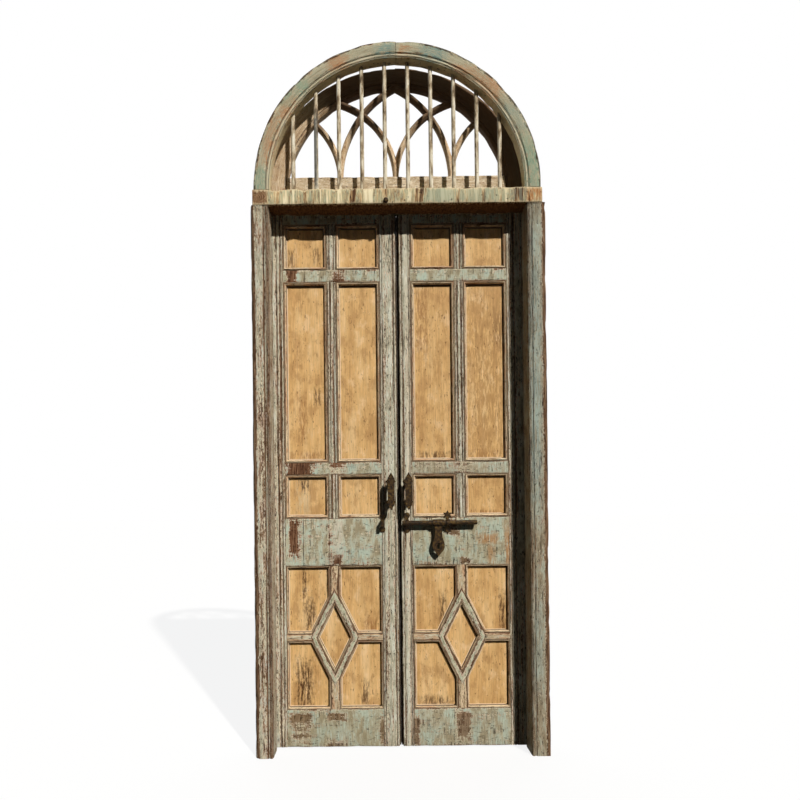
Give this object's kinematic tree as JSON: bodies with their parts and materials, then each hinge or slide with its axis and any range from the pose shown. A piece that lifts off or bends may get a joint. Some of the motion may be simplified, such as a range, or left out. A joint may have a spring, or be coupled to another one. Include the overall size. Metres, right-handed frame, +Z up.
{
  "type": "door with transom",
  "caption": "Weathered double-leaf panelled door in its post frame, with diamond foot panels, sliding bolt and hasp, under an arched transom with guard rods and tracery.",
  "frame": {"origin": "bottom centre of the whole door, on the floor", "axes": "+Z up, +X to the right seen from the front, -Y towards the front"},
  "size_m": [1.288, 0.17, 3.119],
  "materials": {
    "frame_timber": "worn paint",
    "leaf_timber": "worn paint",
    "arch_timber": "worn paint",
    "sash_timber": "worn stain",
    "panel_wood": "bare, stained",
    "rod_paint": "worn paint",
    "iron": "forged, dark"
  },
  "bodies": {
    "frame": {"left_post": "frame_timber", "right_post": "frame_timber", "transom_bar": "frame_timber", "arch_segment_1": "arch_timber", "arch_segment_2": "arch_timber", "arch_segment_3": "arch_timber", "arch_segment_4": "arch_timber", "sash_arch_left": "sash_timber", "sash_arch_right": "sash_timber", "sash_rail": "sash_timber", "tracery_left_ribs": "sash_timber", "tracery_right_ribs": "sash_timber", "guard_rods": "rod_paint", "bar_stud": "iron", "frame_hinge_plates": "iron", "left_hinge_pins": "iron", "right_hinge_pins": "iron"},
    "left_leaf": {"left_hinge_stile": "leaf_timber", "left_meeting_stile": "leaf_timber", "left_bottom_rail": "leaf_timber", "left_lock_rail": "leaf_timber", "left_middle_rail": "leaf_timber", "left_upper_rail": "leaf_timber", "left_top_rail": "leaf_timber", "left_muntins": "leaf_timber", "left_diamond_boards": "leaf_timber", "left_diamond_spokes": "leaf_timber", "left_mouldings": "leaf_timber", "left_back_beads": "leaf_timber", "left_square_panels": "panel_wood", "left_tall_panels": "panel_wood", "left_top_panels": "panel_wood", "left_corner_panels": "panel_wood", "left_diamond_panel": "panel_wood", "left_hinge_plates": "iron", "left_pull_handle": "iron", "left_bolt_keeper": "iron"},
    "right_leaf": {"right_hinge_stile": "leaf_timber", "right_meeting_stile": "leaf_timber", "right_bottom_rail": "leaf_timber", "right_lock_rail": "leaf_timber", "right_middle_rail": "leaf_timber", "right_upper_rail": "leaf_timber", "right_top_rail": "leaf_timber", "right_muntins": "leaf_timber", "right_diamond_boards": "leaf_timber", "right_diamond_spokes": "leaf_timber", "right_mouldings": "leaf_timber", "right_back_beads": "leaf_timber", "right_square_panels": "panel_wood", "right_tall_panels": "panel_wood", "right_top_panels": "panel_wood", "right_corner_panels": "panel_wood", "right_diamond_panel": "panel_wood", "right_hinge_plates": "iron", "right_pull_handle": "iron", "right_bolt_brackets": "iron"},
    "bolt": {"bolt_rod": "iron"},
    "hasp": {"hasp": "iron"}
  },
  "joints": [
    {"name": "left_leaf_swing", "type": "hinge", "parent": "frame", "child": "left_leaf", "pos_m": [-0.5745, 0.078, 1.2], "axis": [0, 0, 1], "range_deg": [0, 95]},
    {"name": "right_leaf_swing", "type": "hinge", "parent": "frame", "child": "right_leaf", "pos_m": [0.5745, 0.078, 1.2], "axis": [0, 0, -1], "range_deg": [0, 95]},
    {"name": "bolt_slide", "type": "slide", "parent": "right_leaf", "child": "bolt", "axis": [-1, 0, 0], "range_m": [0, 0.104]},
    {"name": "hasp_lift", "type": "hinge", "parent": "bolt", "child": "hasp", "pos_m": [0.1731, 0.003, 1.01812], "axis": [-1, 0, 0], "range_deg": [0, 120]}
  ]
}
